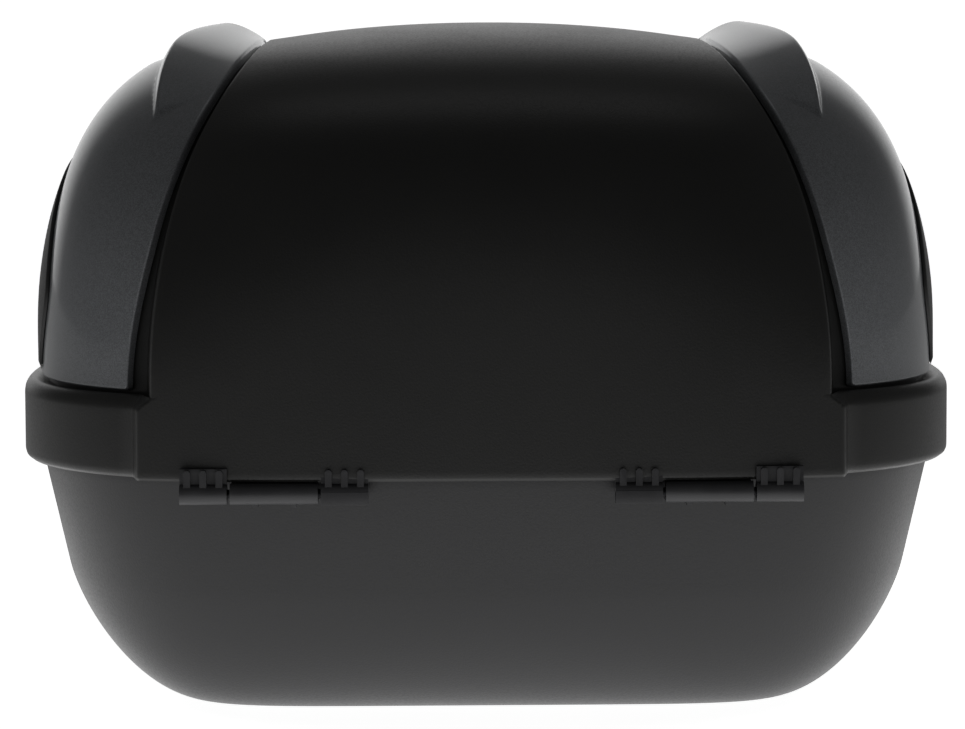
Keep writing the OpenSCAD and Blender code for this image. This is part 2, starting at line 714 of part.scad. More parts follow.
module reflector(side) {
  color("#a01014")
    translate([side * 96, 0, 0])
      bar(31, apron_y + 0.1, out_y, skirt_z + 7, skirt_top - 8, 6);
}

lower_shell();
base_feet();
rim_seal();
floor_mat();
hinge_base(-1);  // hinge_base_left
hinge_base(1);  // hinge_base_right
hinge_pin(-1);  // hinge_pin_left
hinge_pin(1);  // hinge_pin_right
lock_housing();
key_collar();
key_barrel();
lock_cam();
cam_nut();
release_button();
release_slider();
release_springs();
latch_cover();
cover_screws();
lid_shell();
wing_left();
wing_right();
side_pad_left();
side_pad_right();
wing_screws();
hinge_lid(-1);  // hinge_lid_left
hinge_lid(1);  // hinge_lid_right
striker();
striker_screws();
reflector(-1);  // reflector_left
reflector(1);  // reflector_right
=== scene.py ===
import math
import bmesh
import bpy
import numpy as np
from mathutils import Matrix, Vector


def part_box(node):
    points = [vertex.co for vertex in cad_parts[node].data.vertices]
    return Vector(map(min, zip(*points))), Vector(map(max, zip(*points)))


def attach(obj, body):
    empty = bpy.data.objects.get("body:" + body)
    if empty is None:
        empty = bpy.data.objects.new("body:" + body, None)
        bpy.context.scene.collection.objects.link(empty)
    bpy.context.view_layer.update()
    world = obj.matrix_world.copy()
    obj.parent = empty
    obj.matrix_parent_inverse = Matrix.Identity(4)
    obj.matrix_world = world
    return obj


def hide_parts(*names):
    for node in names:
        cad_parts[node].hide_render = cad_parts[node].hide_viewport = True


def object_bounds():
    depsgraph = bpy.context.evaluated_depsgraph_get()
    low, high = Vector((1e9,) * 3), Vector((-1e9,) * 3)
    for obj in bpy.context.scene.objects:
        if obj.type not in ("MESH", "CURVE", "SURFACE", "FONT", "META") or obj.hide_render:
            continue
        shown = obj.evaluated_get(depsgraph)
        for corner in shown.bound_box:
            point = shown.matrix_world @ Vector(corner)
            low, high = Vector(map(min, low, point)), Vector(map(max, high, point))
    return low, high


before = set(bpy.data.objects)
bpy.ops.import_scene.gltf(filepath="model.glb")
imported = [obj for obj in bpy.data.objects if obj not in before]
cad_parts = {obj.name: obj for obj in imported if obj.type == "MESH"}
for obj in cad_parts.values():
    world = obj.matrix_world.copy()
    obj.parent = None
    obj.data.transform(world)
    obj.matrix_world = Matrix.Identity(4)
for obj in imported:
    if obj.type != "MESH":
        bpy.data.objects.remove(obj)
cad_low, cad_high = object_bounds()


# ---------------------------------------------------------------- lower shell
# The deep lower half: one injection moulding in black polypropylene, fine grained outside,
# with a flat foot, a wide turned edge and a plain rim that stands up inside the lid.
MM = 0.001
WIDTH = cad_high[0] - cad_low[0]
SHELL_LOW, SHELL_HIGH = (Vector(c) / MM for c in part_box("lower_shell"))
PLAN_N = 3.2
RIM_A, RIM_B, RIM_Z = SHELL_HIGH.x, SHELL_HIGH.y, SHELL_HIGH.z
FOOT_A, FOOT_B, FOOT_N, FOOT_Z = 137.0, 128.0, 6.8, SHELL_LOW.z
SKIRT_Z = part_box("lid_shell")[0][2] / MM
TURN_H, TURN_P, DRAFT, WALL, FLOOR = 60.0, 1.8, 0.22, 3.2, 4.0


def oval(a, b, n, t):
    """Points of a squared oval at the angles t, in degrees."""
    c, s = np.cos(np.radians(t)), np.sin(np.radians(t))
    return a * np.sign(c) * np.abs(c) ** (2 / n), b * np.sign(s) * np.abs(s) ** (2 / n)


def plain_object(name, points, faces):
    mesh = bpy.data.meshes.new(name)
    mesh.from_pydata([tuple(p) for p in np.asarray(points) * MM], [], faces)
    mesh.validate()
    obj = bpy.data.objects.new(name, mesh)
    bpy.context.scene.collection.objects.link(obj)
    return obj


def loft(name, rows, closed=False):
    """A closed skin through rows of equal rings, capped at both ends or joined into a hoop."""
    rows = np.asarray(rows, float)
    m, n = rows.shape[:2]
    points = list(rows.reshape(-1, 3))
    faces = []
    for i in range(m if closed else m - 1):
        u = (i + 1) % m
        for j in range(n):
            v = (j + 1) % n
            faces.append((i * n + j, i * n + v, u * n + v, u * n + j))
    if not closed:
        points += [rows[0].mean(axis=0), rows[-1].mean(axis=0)]
        for j in range(n):
            v = (j + 1) % n
            faces += [(m * n, v, j), (m * n + 1, (m - 1) * n + j, (m - 1) * n + v)]
    return plain_object(name, points, faces)


def smoothed(obj, angle=34):
    """Smooth shading that breaks at edges sharper than the angle."""
    mesh = obj.data
    mesh.polygons.foreach_set("use_smooth", [True] * len(mesh.polygons))
    mesh.set_sharp_from_angle(angle=math.radians(angle))
    return obj


def applied(obj):
    """The object with its modifiers worked into a plain mesh."""
    depsgraph = bpy.context.evaluated_depsgraph_get()
    mesh = bpy.data.meshes.new_from_object(obj.evaluated_get(depsgraph), depsgraph=depsgraph)
    mesh.name = obj.name
    obj.modifiers.clear()
    obj.data = mesh
    return obj


def block(name, low, high):
    """A plain box used only to cut an opening."""
    x, y, z = zip(low, high)
    points = [(a, b, c) for c in z for b in y for a in x]
    faces = [(0, 2, 3, 1), (4, 5, 7, 6), (0, 1, 5, 4), (2, 6, 7, 3), (0, 4, 6, 2), (1, 3, 7, 5)]
    return plain_object(name, points, faces)


def cut(obj, *cutters):
    for cutter in cutters:
        change = obj.modifiers.new("cut", "BOOLEAN")
        change.operation = "DIFFERENCE"
        change.solver = "EXACT"
        change.object = cutter
    applied(obj)
    for cutter in cutters:
        bpy.data.objects.remove(cutter)
    return obj


def turned(f):
    """Height and spread of the turned edge at an angle from foot to side."""
    c, s = np.cos(np.radians(f)), np.sin(np.radians(f))
    return TURN_H * (1 - c ** (2 / TURN_P)), s ** (2 / TURN_P)


def shell_ring(z, k, inset, rise, t):
    fall = DRAFT * max(0, SKIRT_Z - z)
    a = FOOT_A + (RIM_A - fall - FOOT_A) * k - inset
    b = FOOT_B + (RIM_B - fall - FOOT_B) * k - inset
    x, y = oval(a, b, FOOT_N + (PLAN_N - FOOT_N) * k, t)
    return np.stack([x, y, np.full_like(x, rise)], axis=-1)


TOP = RIM_Z - FOOT_Z
ring = np.arange(0, 360, 1.0)
levels = [turned(f) for f in np.linspace(0, 88, 34)]
levels += [(z, 1.0) for z in np.linspace(TURN_H + 2, TOP - 1, 14)]
outer = [shell_ring(z, k, 0, FOOT_Z + z, ring) for z, k in levels]
RIM_EDGE = ((0.15, 0.4), (0.5, 0.0), (WALL - 0.5, 0.0), (WALL - 0.15, 0.4))
rim = [shell_ring(TOP, 1, inset, RIM_Z - drop, ring) for inset, drop in RIM_EDGE]
inner = [shell_ring(z, k, WALL, FOOT_Z + FLOOR + z * (TOP - FLOOR) / TOP, ring) for z, k in reversed(levels)]
lower_shell = loft("case_lower_shell", outer + rim + inner)
LOCK_WINDOW = (-46.4, 168, 65.6), (46.4, 213, 106.4)
CATCH_SLOT = (-9, 119, -1), (9, 144, 13)
HOOK_SLOT_LEFT = (-62, -88, -1), (-28, -78, 7)
HOOK_SLOT_RIGHT = (28, -88, -1), (62, -78, 7)
lower_shell = cut(
    lower_shell,
    block("window", *LOCK_WINDOW),
    block("rear_slot", *CATCH_SLOT),
    block("hook_left", *HOOK_SLOT_LEFT),
    block("hook_right", *HOOK_SLOT_RIGHT),
)
smoothed(lower_shell, 40)


class Value:
    """A socket that can be used in ordinary sums."""

    def __init__(self, finish, socket):
        self.finish, self.socket = finish, socket

    def _sum(self, operation, a, b):
        return self.finish.node("ShaderNodeMath", {"operation": operation}, {0: a, 1: b})

    def __add__(self, other):
        return self._sum("ADD", self, other)

    def __mul__(self, other):
        return self._sum("MULTIPLY", self, other)

    __radd__, __rmul__ = __add__, __mul__


class Finish:
    """A material under construction."""

    def __init__(self, name):
        self.material = bpy.data.materials.new(name)
        self.material.use_nodes = True
        self.tree = self.material.node_tree
        self.shader = self.tree.nodes["Principled BSDF"]
        self.where = self.node("ShaderNodeTexCoord", {}, {}, "Object")

    def node(self, kind, settings, inputs, output=0):
        made = self.tree.nodes.new(kind)
        for key, value in settings.items():
            setattr(made, key, value)
        for key, value in inputs.items():
            self.put(made.inputs[key], value)
        return Value(self, made.outputs[output])

    def put(self, socket, value):
        if isinstance(value, Value):
            self.tree.links.new(value.socket, socket)
        else:
            socket.default_value = value

    def set(self, **values):
        for key, value in values.items():
            self.put(self.shader.inputs[key.replace("_", " ")], value)
        return self

    def noise(self, scale, detail=3, rough=0.5):
        return self.node("ShaderNodeTexNoise", {}, {
            "Vector": self.where, "Scale": scale, "Detail": detail, "Roughness": rough})

    def cells(self, scale, output="Distance"):
        inputs = {"Vector": self.where, "Scale": scale}
        return self.node("ShaderNodeTexVoronoi", {"feature": "F1"}, inputs, output)

    def spread(self, value, low, high, out_low=0.0, out_high=1.0):
        return self.node("ShaderNodeMapRange", {}, {
            "Value": value, "From Min": low, "From Max": high, "To Min": out_low, "To Max": out_high})

    def tint(self, amount, dark, light):
        colours = {0: amount, 6: (*dark, 1), 7: (*light, 1)}
        return self.node("ShaderNodeMix", {"data_type": "RGBA"}, colours, 2)

    def relief(self, height, distance, strength=1.0):
        return self.node("ShaderNodeBump", {}, {"Height": height, "Distance": distance, "Strength": strength})


def grained_plastic(name, dark, light, rough, grain=950, depth=0.00005):
    """Black polypropylene with a spark-eroded grain, slightly polished by handling."""
    f = Finish(name)
    cloud = f.noise(9, 4, 0.6)
    pores = f.cells(grain)
    fine = f.noise(grain * 1.7, 2, 0.6)
    height = pores * 0.65 + fine * 0.5
    f.set(Base_Color=f.tint(f.spread(cloud * 0.6 + fine * 0.4, 0.3, 0.7), dark, light),
          Roughness=f.spread(cloud * 0.5 + pores * 0.5, 0.25, 0.65, rough - 0.05, rough + 0.06),
          Normal=f.relief(height, depth))
    return f.material


SHELL_PLASTIC = grained_plastic("shell_plastic", (0.0085, 0.0085, 0.0095), (0.0140, 0.0140, 0.0155), 0.35)
lower_shell.data.materials.append(SHELL_PLASTIC)
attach(lower_shell, "case_base")
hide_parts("lower_shell")


# ---------------------------------------------------------------- feet, seal and mat
# Four rubber feet pressed into pockets under the shell, an extruded rubber seal laid round the
# rim, and a loose moulded mat with raised ribs on the floor.
def rubber(name, colour, rough=0.72):
    f = Finish(name)
    dust = f.noise(26, 5, 0.6)
    f.set(Base_Color=f.tint(f.spread(dust, 0.35, 0.7), colour, tuple(c * 1.9 + 0.004 for c in colour)),
          Roughness=f.spread(dust, 0.3, 0.7, rough - 0.06, rough + 0.1),
          Normal=f.relief(f.noise(1500, 2), 0.00003))
    return f.material


def softened(node, width, body, material, segments=3, name=None, angle=28):
    """A copy of a CAD piece with its moulded or machined edges broken, which stands for it."""
    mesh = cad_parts[node].data.copy()
    mesh.materials.clear()
    work = bmesh.new()
    work.from_mesh(mesh)
    bmesh.ops.remove_doubles(work, verts=work.verts, dist=1e-6)
    bmesh.ops.dissolve_limit(work, angle_limit=math.radians(1.0), verts=work.verts, edges=work.edges)
    work.to_mesh(mesh)
    work.free()
    obj = bpy.data.objects.new(name or "case_" + node, mesh)
    bpy.context.scene.collection.objects.link(obj)
    edge = obj.modifiers.new("edges", "BEVEL")
    edge.width, edge.segments, edge.limit_method = width * MM, segments, "ANGLE"
    edge.angle_limit = math.radians(angle)
    edge.use_clamp_overlap = True
    applied(obj)
    smoothed(obj, 38)
    obj.data.materials.append(material)
    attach(obj, body)
    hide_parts(node)
    return obj


RUBBER = rubber("black_rubber", (0.011, 0.011, 0.011))
softened("base_feet", 0.6, "case_base", RUBBER)

SEAL_LOW, SEAL_HIGH = (Vector(c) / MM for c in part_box("rim_seal"))
seal_t, seal_w = SEAL_HIGH.z - SEAL_LOW.z, 4.6
profile = [(0.0, 0.0), (0.0, seal_t * 0.55)]
profile += [(seal_w / 2 - (seal_w / 2) * math.cos(a), seal_t * (0.55 + 0.45 * math.sin(a)))
            for a in np.linspace(0.25, math.pi - 0.25, 9)]
profile += [(seal_w, seal_t * 0.55), (seal_w, 0.0)]
rows = []
for inset, up in profile:
    x, y = oval(SEAL_HIGH.x - inset, SEAL_HIGH.y - inset, PLAN_N, ring)
    rows.append(np.stack([x, y, np.full_like(x, SEAL_LOW.z + up)], axis=-1))
seal = smoothed(loft("case_rim_seal", rows, closed=True))
seal.data.materials.append(RUBBER)
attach(seal, "case_base")
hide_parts("rim_seal")
mat = softened("floor_mat", 0.5, "case_base", rubber("mat_rubber", (0.017, 0.017, 0.018), 0.8))


# ---------------------------------------------------------------- hinges
# Two plastic hinges under the front apron: glass-filled nylon knuckles, two on the lid with
# small gussets, one on the shell between them, all on a plain steel pin.
def nylon(name, dark, light, rough=0.42):
    f = Finish(name)
    cloud = f.noise(60, 4, 0.6)
    f.set(Base_Color=f.tint(f.spread(cloud, 0.3, 0.7), dark, light),
          Roughness=f.spread(cloud, 0.3, 0.7, rough - 0.05, rough + 0.08),
          Normal=f.relief(f.noise(900, 3, 0.6), 0.00004))
    return f.material


NYLON = nylon("hinge_nylon", (0.030, 0.030, 0.032), (0.044, 0.044, 0.047))


def plated(name, colour, rough=0.28, streaks=700):
    f = Finish(name)
    flow = f.node("ShaderNodeMapping", {}, {"Vector": f.where, "Scale": (1.0, 14.0, 14.0)})
    lines = f.node("ShaderNodeTexNoise", {}, {"Vector": flow, "Scale": streaks / 10, "Detail": 4.0})
    f.set(Base_Color=f.tint(f.spread(lines, 0.3, 0.7), tuple(c * 0.8 for c in colour), colour), Metallic=1.0,
          Roughness=f.spread(lines, 0.3, 0.7, rough - 0.08, rough + 0.1),
          Normal=f.relief(lines, 0.00001))
    return f.material


STEEL = plated("plated_steel", (0.58, 0.59, 0.60))
BLACK_STEEL = plated("black_oxide_steel", (0.028, 0.028, 0.030), 0.42)
for side in ("left", "right"):
    softened("hinge_base_" + side, 0.35, "case_base", NYLON)
    softened("hinge_pin_" + side, 0.4, "case_base", BLACK_STEEL)
    softened("hinge_lid_" + side, 0.35, "lid", NYLON)


# ---------------------------------------------------------------- lock and carrier release
# A satin nylon housing through the rear wall holds a turned barrel with a keyway in a chromed
# collar, with a pressed cam behind it. Under it a red button pushes a bent steel slider.
HOUSING = nylon("housing_nylon", (0.017, 0.017, 0.018), (0.025, 0.025, 0.027), 0.36)
softened("lock_housing", 0.8, "case_base", HOUSING, 4)
softened("key_collar", 0.35, "case_base", plated("collar_chrome", (0.78, 0.79, 0.80), 0.12))
softened("key_barrel", 0.3, "key", plated("barrel_metal", (0.5, 0.5, 0.5), 0.3))
softened("lock_cam", 0.25, "key", STEEL)
softened("cam_nut", 0.3, "key", STEEL)
button = Finish("red_nylon")
fade = button.spread(button.noise(40, 4), 0.3, 0.7)
button.set(Base_Color=button.tint(fade, (0.40, 0.010, 0.012), (0.50, 0.016, 0.018)),
           Roughness=button.spread(button.noise(90, 4), 0.3, 0.7, 0.3, 0.42),
           Normal=button.relief(button.noise(1100, 2), 0.00002))
softened("release_button", 0.8, "release", button.material)
softened("release_slider", 0.3, "release", STEEL)
softened("latch_cover", 0.7, "case_base", HOUSING)


# ---------------------------------------------------------------- lid
# The lid's outer shell: black polypropylene like the lower half. A skirt band overlaps the rim,
# flat aprons front and rear carry the hinges and striker, and a raised saddle runs over the top.
LID_HIGH = Vector(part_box("lid_shell")[1]) / MM
DOME_Z, CASE_H = 100.0, 316.0
DOME_C = CASE_H - DOME_Z
DOME_A, APRON_Y = 214.2, LID_HIGH.y
SKIRT_A, SKIRT_B = WIDTH / MM / 2, 211.6
SKIRT_TOP = SKIRT_Z + 37.0
WING_T, WING_GAP, WING_EDGE = 3.3, 0.7, 1.5
SADDLE, NARROW, FLANK, SADDLE_N = 155.0, 49.0, 7.0, 5.0
CROWN_Q, SHOULDER_Q = 6.5, 4.37
K_BASE = 1 - (WING_T + WING_GAP) / DOME_C
K_INNER = K_BASE - 3.5 / DOME_C


def step(v):
    v = np.clip(v, 0, 1)
    return v * v * (3 - 2 * v)


def crown(r):
    return np.maximum(0, 1 - r ** CROWN_Q) ** 0.5


def crown_steps(low, high, count):
    """Shares of the dome's height that lie evenly along its curve, between two angles."""
    return np.sin(np.radians(np.linspace(low, high, count))) ** (2 / CROWN_Q)


def dome_width(r):
    shoulder = (1 - 0.0425 * r) * np.maximum(0, 1 - r ** SHOULDER_Q) ** (1 / SHOULDER_Q)
    w = step((r - 0.907) / 0.065)
    return DOME_A * shoulder * (1 - w) + SKIRT_A * 0.982 * crown(r) * w


def dome_depth(r):
    return APRON_Y * crown(r)


def dome_n(r):
    return PLAN_N - 0.9 * np.clip((r - 0.65) / 0.32, 0, 1) ** 2


def saddle_x(r):
    return SADDLE - NARROW * np.clip((r - 0.24) / 0.718, 0, 1) ** 2.2


def flank(r):
    """Width of the step beside the saddle: wide on the front, narrow over the top."""
    return FLANK - 3.4 * step((r - 0.42) / 0.34)


def front_n(r):
    w = step((r - 0.24) / 0.45)
    return SADDLE_N * (1 - w) + dome_n(r) * w


def arc_of(x, a, n):
    return math.degrees(math.acos(min(1, max(0, x / a)) ** (n / 2)))


def full_ring(q):
    q = np.asarray(q)
    back = q[:0:-1]
    return np.concatenate([q[:-1], 180 - back, 180 + q[:-1], 360 - back])


def ring_angles(t1, t2):
    """Angles round a ring, with some of them always on the flank between t1 and t2."""
    quarter = list(np.linspace(0, t1, 19))
    quarter += list(np.linspace(t1, t2, 9))[1:]
    quarter += list(t2 + (90 - t2) * np.linspace(0, 1, 29))[1:]
    return full_ring(quarter)


def lid_ring(a, b, n, foot, top, edge_a, edge_b, edge_n, z, lift, k):
    """One ring of the lid: the base oval outside the foot of the flank, the saddle inside its top."""
    t1 = max(5.0, arc_of(foot, a, n))
    t2 = max(t1 + 3.0, arc_of(top, a, n))
    x, y = oval(a, b, n, ring_angles(t1, t2))
    w = step((foot - np.abs(x)) / (foot - top))
    ys = edge_b * np.maximum(0, 1 - np.minimum(1, np.abs(x) / edge_a) ** edge_n) ** (1 / edge_n)
    y = np.sign(y) * (np.abs(y) * (1 - w) + ys * w)
    scale = k + (lift - k) * w
    return np.stack([x * scale, y * scale, DOME_Z + (z - DOME_Z) * scale], axis=-1)


def edge_places(z):
    """Where the flank's foot and top run at a height: wide on the apron, then jogging in to the saddle."""
    w = float(step((z - (SKIRT_TOP - 6.5)) / 6.5))
    return (SADDLE + 3.5) * (1 - w) + SADDLE * w, (SADDLE - 0.5) * (1 - w) + (SADDLE - FLANK) * w


skirt = [(SKIRT_Z + 0.1, 2.3), (SKIRT_Z, 2.0), (SKIRT_Z + 0.9, 0.95)]
skirt += [(SKIRT_Z + 4.2 - 3.3 * math.cos(a), 0.95 - 0.95 * math.sin(a))
          for a in np.linspace(0.15, math.pi / 2, 7)]
skirt += [(SKIRT_Z + 4.2 + h, 0.0) for h in np.linspace(3, 23, 5)]
skirt += [(SKIRT_TOP - 7.4 + 7.0 * math.sin(a), 4.9 * (1 - math.cos(a))) for a in np.linspace(0, 1.5, 16)]
outside = []
for z, inset in skirt:
    foot, top = edge_places(z)
    lip = 0.45 * inset if z < SKIRT_Z + 3 else 0.0
    width = float(dome_width((z - DOME_Z) / DOME_C))
    row = lid_ring(SKIRT_A - inset, SKIRT_B - inset, PLAN_N, foot, top,
                   width, APRON_Y - lip, SADDLE_N, z, 1.0, 1.0)
    row[:, 2] = z
    outside.append(row)
shares = list(0.228 + np.array([0, 0.002, 0.006])) + list(np.linspace(0.24, 0.47, 26))
shares += list(crown_steps(5.2, 85.5, 74))
for r in shares:
    x = float(saddle_x(r))
    outside.append(lid_ring(dome_width(r), dome_depth(r), float(dome_n(r)), x, x - float(flank(r)),
                            dome_width(r), dome_depth(r), float(front_n(r)),
                            DOME_Z + DOME_C * r, 1.0, K_BASE))


def inner_ring(r):
    base = (dome_width(r), dome_depth(r), float(dome_n(r)))
    t1 = max(5.0, arc_of(float(saddle_x(r)), base[0], base[2]))
    t2 = max(t1 + 3.0, arc_of(float(saddle_x(r)) - FLANK, base[0], base[2]))
    x, y = oval(*base, ring_angles(t1, t2))
    return np.stack([x * K_INNER, y * K_INNER, np.full_like(x, DOME_Z + DOME_C * r * K_INNER)], axis=-1)


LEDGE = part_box("rim_seal")[1][2] / MM + 0.35
inside = [inner_ring(r) for r in crown_steps(84, 3.6, 40)]


def plain_ring(a, b, z):
    t1 = arc_of(SADDLE + 3.5, a, PLAN_N)
    t2 = arc_of(SADDLE - 0.5, a, PLAN_N)
    x, y = oval(a, b, PLAN_N, ring_angles(t1, t2))
    return np.stack([x, y, np.full_like(x, z)], axis=-1)


LEDGE_STEPS = ((8.5, 7.6, LEDGE + 1.0), (8.2, 7.3, LEDGE), (3.9, 3.8, LEDGE), (3.5, 3.4, LEDGE - 0.6),
               (3.5, 3.4, SKIRT_Z + 0.8), (3.1, 3.0, SKIRT_Z + 0.2))
inside += [plain_ring(SKIRT_A - side_wall, APRON_Y - front_wall, z)
           for side_wall, front_wall, z in LEDGE_STEPS]
lid = smoothed(loft("case_lid_shell", inside + outside), 42)
LID_PLASTIC = grained_plastic("lid_plastic", (0.0140, 0.0140, 0.0133), (0.0205, 0.0205, 0.0196), 0.36)
lid.data.materials.append(LID_PLASTIC)
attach(lid, "lid")
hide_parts("lid_shell")


# ---------------------------------------------------------------- side wings
# Moulded panels painted in metallic grey under clear coat and screwed on from inside. Each wraps
# the side from apron to apron and rises beside the saddle into a fin with a scooped inner face.
FIN_H, FIN_X, FIN_FLARE, FIN_LEN = 12.0, 127.0, 22.0, 156.0


def fin_lift(r, x, y):
    """Height of the fin: a scoop inside its crease and a steep side outside it."""
    s = np.clip(1 - np.abs(y - 10) / FIN_LEN, 0, 1)
    crease = FIN_X + FIN_FLARE * (1 - s * s)
    foot = saddle_x(r)
    u = np.clip((x - foot) / np.maximum(1, crease - foot), 0, 1)
    scoop = u ** 1.7 * (1 - step(s)) + (1 - (1 - u) ** 1.7) * step(s)
    side = 1 - np.clip((x - crease) / (1.5 + 14 * s), 0, 1) ** (1.1 + 0.7 * s)
    return np.where(x <= foot, 0, FIN_H * s ** 0.3 * np.where(x < crease, scoop, side))


def panel(name, outer, inner, mirrored=False):
    """A closed plate between an outer and an inner grid of points."""
    outer, inner = np.array(outer, float), np.array(inner, float)
    if mirrored:
        outer, inner = outer[:, ::-1].copy(), inner[:, ::-1].copy()
        outer[..., 0] *= -1
        inner[..., 0] *= -1
    m, n = outer.shape[:2]
    k = m * n
    faces = []
    for j in range(m - 1):
        for i in range(n - 1):
            a = j * n + i
            faces += [(a, a + 1, a + 1 + n, a + n), (k + a, k + a + n, k + a + 1 + n, k + a + 1)]
    for i in range(n - 1):
        top = (m - 1) * n + i
        faces += [(i + 1, i, k + i, k + i + 1), (top, top + 1, k + top + 1, k + top)]
    for j in range(m - 1):
        a, b = j * n, j * n + n - 1
        faces += [(a, a + n, k + a + n, k + a), (b + n, b, k + b, k + b + n)]
    return plain_object(name, np.concatenate([outer.reshape(-1, 3), inner.reshape(-1, 3)]), faces)


def edge_steps(count, fillet):
    """Shares from -1 to 1, packed towards both ends."""
    s = np.linspace(-1, 1, count)
    return np.sign(s) * (1 - (1 - np.abs(s)) ** fillet)


def wing_top():
    low, high = 0.9, 0.99
    for _ in range(40):
        r = (low + high) / 2
        if dome_width(r) > saddle_x(r) + WING_EDGE + 0.6:
            low = r
        else:
            high = r
    return low


FILLET, CORNER, FOOT_EDGE = 0.9, 2.2, 4.4
top_turn = math.degrees(math.asin(wing_top() ** (CROWN_Q / 2)))
WING_R = 0.2386
share_rows = [WING_R + d / DOME_C for d in (0, 0.1, 0.25, 0.5, 0.9, 1.5, 2.4, 3.4)]
share_rows += list(np.linspace(0.26, 0.5, 28))
share_rows += list(crown_steps(6.5, top_turn, 150))
outer, inner = [], []
across = edge_steps(261, 1.3)
for r in share_rows:
    a, b, n = dome_width(r), dome_depth(r), float(dome_n(r))
    above = (r - WING_R) * DOME_C
    corner = CORNER - math.sqrt(max(0, CORNER ** 2 - max(0, CORNER - above) ** 2))
    edge = WING_EDGE + FOOT_EDGE * (1 - float(step((r - WING_R) / 0.33))) + corner
    reach = arc_of(float(saddle_x(r)) + edge, a, n)
    x, y = oval(a, b, n, across * reach)
    z = np.full_like(x, DOME_Z + DOME_C * r)
    lift = fin_lift(r, x, y)
    gap = np.minimum(np.hypot(x - x[0], y - y[0]), np.hypot(x - x[-1], y - y[-1]))
    near = np.clip(np.minimum(gap, above) / FILLET, 0, 1)
    drop = FILLET * (1 - np.sqrt(1 - (1 - near) ** 2)) * 0.8
    k = 1 - drop / DOME_C
    outer.append(np.stack([x * k, y * k, DOME_Z + (z - DOME_Z) * k + lift], axis=-1))
    k = 1 - WING_T / DOME_C
    inner.append(np.stack([x * k, y * k, DOME_Z + (z - DOME_Z) * k], axis=-1))

paint = Finish("grey_metallic_paint")
flakes = paint.cells(2600, output="Color")
sparkle = paint.node("ShaderNodeSeparateColor", {}, {"Color": flakes}, "Red")
haze = paint.noise(14, 4)
glint = paint.spread(sparkle * 0.75 + haze * 0.35, 0.1, 1.0)
paint.set(Base_Color=paint.tint(glint, (0.15, 0.157, 0.165), (0.29, 0.30, 0.315)),
          Metallic=0.65, Roughness=paint.spread(sparkle, 0, 1, 0.34, 0.5),
          Coat_Weight=0.55, Coat_Roughness=0.06,
          Normal=paint.relief(sparkle, 0.00002, 0.6))
for side in ("left", "right"):
    wing = smoothed(panel("case_wing_" + side, outer, inner, side == "left"), 50)
    wing.data.materials.append(paint.material)
    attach(wing, "lid")
    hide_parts("wing_" + side)


# ---------------------------------------------------------------- side pads
# Black grained pads clipped on the sides of the wings, crowned so that a knock lands on them
# and not on the paint.
PAD_LEN, PAD_H, PAD_CROWN = 105.0, 100.0, 2.8
PAD_Z = SKIRT_TOP + 3.4
rows_up = 1 - (1 - np.linspace(0, 1, 49)) ** 1.5
over = edge_steps(65, 1.5)


def pad_half(v):
    """Half the pad's length at a share of its height: drawn in at the foot, longest a third up."""
    return max(2.0, PAD_LEN * (0.8 + 0.2 * float(step(v / 0.42))) * max(0, 1 - v ** 2.5) ** (1 / 2.2))


def pad_point(u, v, h):
    half = pad_half(v)
    y = u * half
    z = PAD_Z + PAD_H * v
    r = (z - DOME_Z) / DOME_C
    n = dome_n(r)
    x = dome_width(r) * (1 - (np.abs(y) / dome_depth(r)) ** n) ** (1 / n)
    return np.stack([x + h, y, np.full_like(y, z)], axis=-1)


def pad_height(u, v):
    half = pad_half(v)
    body = 1.7 + PAD_CROWN * math.sin(math.pi * v ** 0.8) * (1 - np.abs(u) ** 3)
    near = np.clip(np.minimum((1 - np.abs(u)) * half, min(v * PAD_H, (1 - v) * PAD_H)) / 1.4, 0, 1)
    return body - 1.2 * (1 - np.sqrt(1 - (1 - near) ** 2))


outer = [pad_point(over, v, pad_height(over, v)) for v in rows_up]
inner = [pad_point(over, v, 0.4) for v in rows_up]
PAD_PLASTIC = grained_plastic("pad_plastic", (0.0095, 0.0095, 0.0095), (0.014, 0.014, 0.014), 0.5)
for side in ("left", "right"):
    pad = smoothed(panel("case_side_pad_" + side, outer, inner, side == "left"), 50)
    pad.data.materials.append(PAD_PLASTIC)
    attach(pad, "lid")
    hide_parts("side_pad_" + side)


# ---------------------------------------------------------------- striker and reflectors
# A bent steel striker screwed inside the rear apron, and two red reflectors stuck outside it.
softened("striker", 0.4, "lid", STEEL)
lens = Finish("red_reflector")
facets = lens.cells(420)
lens.set(Base_Color=lens.tint(lens.spread(facets, 0.0, 0.6), (0.55, 0.012, 0.014), (0.30, 0.006, 0.008)),
         Roughness=0.08, Coat_Weight=1.0, Coat_Roughness=0.03, Normal=lens.relief(facets, 0.0003))
for side in ("left", "right"):
    softened("reflector_" + side, 0.7, "lid", lens.material)


# ---------------------------------------------------------------- screws
# Zinc plated pan head screws with a cross recess, driven from inside through the lid into the
# wings, through the striker into the rear apron, and through the latch cover into the floor.
def solids_of(node):
    """The separate solids of a CAD node, each as its points in millimetres."""
    work = bmesh.new()
    work.from_mesh(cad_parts[node].data)
    bmesh.ops.remove_doubles(work, verts=work.verts, dist=1e-6)
    left, found = set(work.verts), []
    while left:
        edge, group = [left.pop()], []
        while edge:
            here = edge.pop()
            group.append(here.co / MM)
            near = {e.other_vert(here) for e in here.link_edges} & left
            left -= near
            edge += near
        found.append(np.array(group))
    work.free()
    return sorted(found, key=lambda s: tuple(s.mean(axis=0).round(3)))


